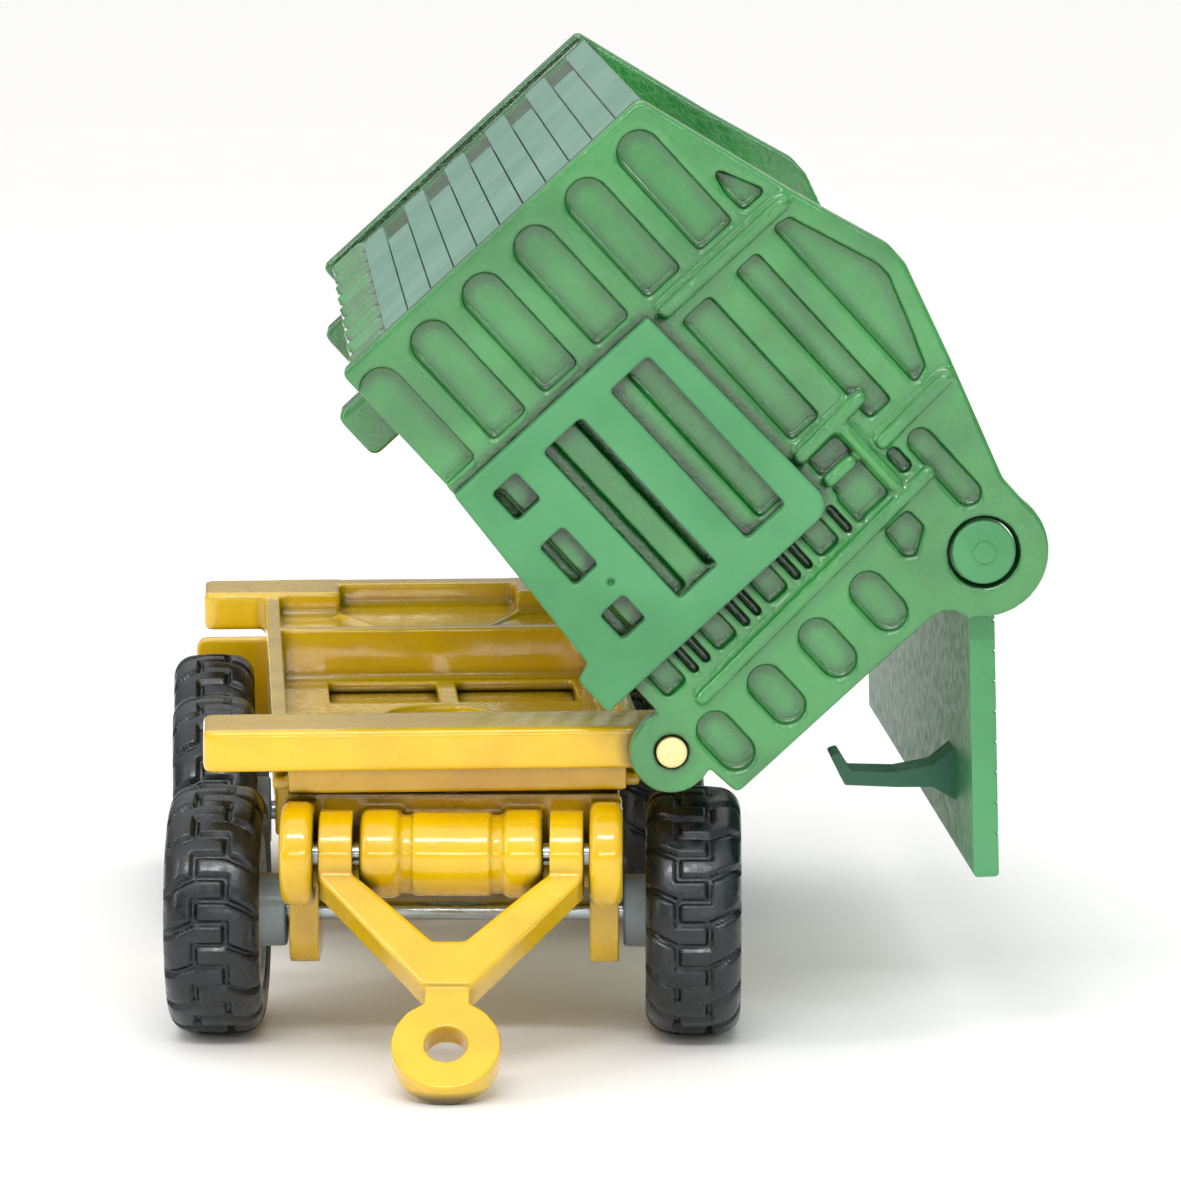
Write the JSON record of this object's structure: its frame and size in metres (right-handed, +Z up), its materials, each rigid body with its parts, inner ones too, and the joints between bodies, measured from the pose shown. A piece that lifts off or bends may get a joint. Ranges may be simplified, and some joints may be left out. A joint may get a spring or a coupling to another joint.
{
  "type": "side-tipping farm trailer model",
  "caption": "Small die-cast farm trailer with a steered front bogie, tandem rear axles, a ribbed side-tipping body and a hanging side flap.",
  "frame": {"origin": "middle of the model's box, on the ground", "axes": "+Y from the towing eye to the rear, +X to the side the body tips to, +Z up"},
  "size_m": [0.0624, 0.0922, 0.068],
  "materials": {
    "yellow_paint": "thick glossy enamel over die-cast metal",
    "green_paint": "thick glossy enamel over die-cast metal",
    "green_plastic": "satin moulded",
    "dark_green_plastic": "satin moulded",
    "board_plastic": "matt grey-green",
    "steel": "drawn wire",
    "rivet": "painted rivet head",
    "rim": "satin grey",
    "tyre": "moulded tread"
  },
  "bodies": {
    "chassis": {"chassis_frame": "yellow_paint", "kingpin": "steel", "pivot_pin_front": "rivet", "pivot_pin_rear": "rivet", "rear_underbody": "yellow_paint", "rear_light_board": "yellow_paint", "rear_axle_cover": "yellow_paint", "cover_screws": "steel"},
    "tipping_body": {"body_tub": "green_paint", "front_wall": "green_paint", "rear_wall": "green_paint", "front_grille": "green_plastic", "long_side_boards": "board_plastic", "short_side_boards": "board_plastic"},
    "flap": {"side_flap": "green_plastic", "flap_tongue": "dark_green_plastic"},
    "bogie": {"bogie_frame": "yellow_paint", "drawbar_pin": "steel"},
    "drawbar": {"drawbar": "yellow_paint"},
    "front_wheels": {"front_axle": "steel", "front_left_tyre": "tyre", "front_left_rim": "rim", "front_right_tyre": "tyre", "front_right_rim": "rim"},
    "middle_wheels": {"middle_axle": "steel", "middle_left_tyre": "tyre", "middle_left_rim": "rim", "middle_right_tyre": "tyre", "middle_right_rim": "rim"},
    "rear_wheels": {"rear_axle": "steel", "rear_left_tyre": "tyre", "rear_left_rim": "rim", "rear_right_tyre": "tyre", "rear_right_rim": "rim"}
  },
  "joints": [
    {"name": "body_tip", "type": "hinge", "parent": "chassis", "child": "tipping_body", "pos_m": [0.00465, 0.01566, 0.0222], "axis": [0, 1, 0], "range_deg": [-47.5, 0]},
    {"name": "flap_swing", "type": "hinge", "parent": "tipping_body", "child": "flap", "pos_m": [0.02656, 0.01566, 0.03618], "axis": [0, 1, 0], "range_deg": [-60, 49.1]},
    {"name": "bogie_steer", "type": "hinge", "parent": "chassis", "child": "bogie", "pos_m": [-0.01018, -0.02264, 0.0185], "axis": [0, 0, 1], "range_deg": [-30.8, 39.2]},
    {"name": "drawbar_lift", "type": "hinge", "parent": "bogie", "child": "drawbar", "pos_m": [-0.01068, -0.02942, 0.0145], "axis": [0.9973, -0.0732, 0], "range_deg": [-60, 0]},
    {"name": "front_spin", "type": "hinge", "parent": "bogie", "child": "front_wheels", "pos_m": [-0.01018, -0.02264, 0.009], "axis": [0.9973, -0.0732, 0], "continuous": true},
    {"name": "middle_spin", "type": "hinge", "parent": "chassis", "child": "middle_wheels", "pos_m": [-0.01018, 0.01566, 0.009], "axis": [1, 0, 0], "continuous": true},
    {"name": "rear_spin", "type": "hinge", "parent": "chassis", "child": "rear_wheels", "pos_m": [-0.01018, 0.03526, 0.009], "axis": [1, 0, 0], "continuous": true}
  ]
}
